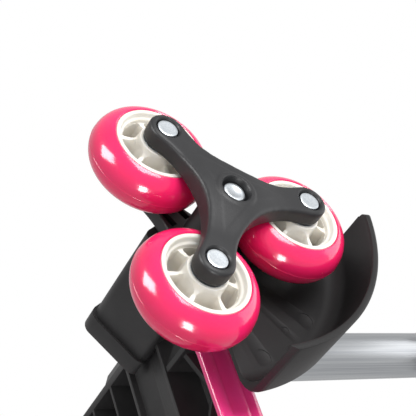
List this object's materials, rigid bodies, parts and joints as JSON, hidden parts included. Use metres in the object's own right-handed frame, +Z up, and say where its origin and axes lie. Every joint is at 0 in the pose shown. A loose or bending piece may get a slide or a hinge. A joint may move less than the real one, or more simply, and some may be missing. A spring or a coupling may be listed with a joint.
{
  "type": "kick scooter",
  "caption": "Child's kick scooter with a turning three-wheel cluster at each front corner, arched wheel guards, a moulded deck and a height-adjustable T-bar.",
  "frame": {"origin": "on the ground, under the middle of the whole scooter's box", "axes": "+X forward, +Y to the rider's left, +Z up"},
  "size_m": [0.5301, 0.371, 0.7061],
  "materials": {
    "tyre_pink": "glossy cast urethane, hot pink",
    "hub_white": "moulded nylon, off white",
    "steel_zinc": "bright zinc plate",
    "bush_nylon": "natural nylon",
    "spider_black": "satin glass-filled nylon, fine grain",
    "frame_black": "moulded polypropylene, fine grain",
    "guard_black": "moulded polypropylene, fine spark texture",
    "deck_pink": "glossy moulded shell",
    "mat_black": "ribbed rubber",
    "tube_aluminium": "brushed and clear anodised",
    "grip_pink": "soft rubber",
    "bush_pink": "cast urethane"
  },
  "bodies": {
    "left_cluster": {"left_outer_spider": "spider_black", "left_inner_spider": "spider_black", "left_wheel_bolts": "steel_zinc", "left_cluster_bushes": "bush_nylon"},
    "left_top_wheel": {"left_top_tyre": "tyre_pink", "left_top_hub": "hub_white", "left_top_bearings": "steel_zinc"},
    "left_front_wheel": {"left_front_tyre": "tyre_pink", "left_front_hub": "hub_white", "left_front_bearings": "steel_zinc"},
    "left_rear_wheel": {"left_rear_tyre": "tyre_pink", "left_rear_hub": "hub_white", "left_rear_bearings": "steel_zinc"},
    "right_cluster": {"right_outer_spider": "spider_black", "right_inner_spider": "spider_black", "right_wheel_bolts": "steel_zinc", "right_cluster_bushes": "bush_nylon"},
    "right_top_wheel": {"right_top_tyre": "tyre_pink", "right_top_hub": "hub_white", "right_top_bearings": "steel_zinc"},
    "right_front_wheel": {"right_front_tyre": "tyre_pink", "right_front_hub": "hub_white", "right_front_bearings": "steel_zinc"},
    "right_rear_wheel": {"right_rear_tyre": "tyre_pink", "right_rear_hub": "hub_white", "right_rear_bearings": "steel_zinc"},
    "frame": {"deck_shell": "deck_pink", "chassis": "frame_black", "grip_mat": "mat_black", "deck_screws": "steel_zinc", "stem_socket": "frame_black", "lower_tube": "tube_aluminium", "clamp_collar": "spider_black", "clamp_bolt": "steel_zinc", "kingpin": "steel_zinc", "truck_bush": "bush_pink", "left_cluster_axle": "steel_zinc", "left_cluster_nut": "steel_zinc", "left_axle_box": "frame_black", "left_guard": "guard_black", "left_guard_screws": "steel_zinc", "right_cluster_axle": "steel_zinc", "right_cluster_nut": "steel_zinc", "right_axle_box": "frame_black", "right_guard": "guard_black", "right_guard_screws": "steel_zinc"},
    "handlebar": {"upper_tube": "tube_aluminium", "bar_tee": "spider_black", "crossbar": "tube_aluminium", "left_grip": "grip_pink", "right_grip": "grip_pink"},
    "lever": {"clamp_lever": "spider_black"},
    "rear_truck": {"rear_yoke": "spider_black", "rear_axle": "steel_zinc", "brake_pin": "steel_zinc", "brake_spring": "steel_zinc"},
    "rear_wheel": {"rear_tyre": "tyre_pink", "rear_hub": "hub_white", "rear_bearings": "steel_zinc"},
    "brake": {"brake_plate": "guard_black"}
  },
  "joints": [
    {"name": "left_cluster_turn", "type": "hinge", "parent": "frame", "child": "left_cluster", "pos_m": [0.19895, 0.1599, 0.0524], "axis": [0, 1, 0], "continuous": true},
    {"name": "left_top_wheel_spin", "type": "hinge", "parent": "left_cluster", "child": "left_top_wheel", "pos_m": [0.19895, 0.1599, 0.0964], "axis": [0, 1, 0], "continuous": true},
    {"name": "left_front_wheel_spin", "type": "hinge", "parent": "left_cluster", "child": "left_front_wheel", "pos_m": [0.23705, 0.1599, 0.0304], "axis": [0, 1, 0], "continuous": true},
    {"name": "left_rear_wheel_spin", "type": "hinge", "parent": "left_cluster", "child": "left_rear_wheel", "pos_m": [0.16084, 0.1599, 0.0304], "axis": [0, 1, 0], "continuous": true},
    {"name": "right_cluster_turn", "type": "hinge", "parent": "frame", "child": "right_cluster", "pos_m": [0.19895, -0.1599, 0.0524], "axis": [0, 1, 0], "continuous": true},
    {"name": "right_top_wheel_spin", "type": "hinge", "parent": "right_cluster", "child": "right_top_wheel", "pos_m": [0.19895, -0.1599, 0.0964], "axis": [0, 1, 0], "continuous": true},
    {"name": "right_front_wheel_spin", "type": "hinge", "parent": "right_cluster", "child": "right_front_wheel", "pos_m": [0.23705, -0.1599, 0.0304], "axis": [0, 1, 0], "continuous": true},
    {"name": "right_rear_wheel_spin", "type": "hinge", "parent": "right_cluster", "child": "right_rear_wheel", "pos_m": [0.16084, -0.1599, 0.0304], "axis": [0, 1, 0], "continuous": true},
    {"name": "handlebar_height", "type": "slide", "parent": "frame", "child": "handlebar", "axis": [0, 0, 1], "range_m": [-0.12, 0.04]},
    {"name": "clamp_lever_open", "type": "hinge", "parent": "frame", "child": "lever", "pos_m": [0.19985, 0.017, 0.351], "axis": [0, 0, 1], "range_deg": [0, 100]},
    {"name": "rear_steer", "type": "hinge", "parent": "frame", "child": "rear_truck", "pos_m": [-0.17705, 0, 0.0454], "axis": [0.4695, 0, 0.8829], "range_deg": [-12, 12], "stiffness_Nm_per_rad": 12},
    {"name": "rear_wheel_spin", "type": "hinge", "parent": "rear_truck", "child": "rear_wheel", "pos_m": [-0.23105, 0, 0.0304], "axis": [0, 1, 0], "continuous": true},
    {"name": "brake_press", "type": "hinge", "parent": "rear_truck", "child": "brake", "pos_m": [-0.19445, 0, 0.0534], "axis": [0, -1, 0], "range_deg": [0, 2.1], "stiffness_Nm_per_rad": 20}
  ]
}
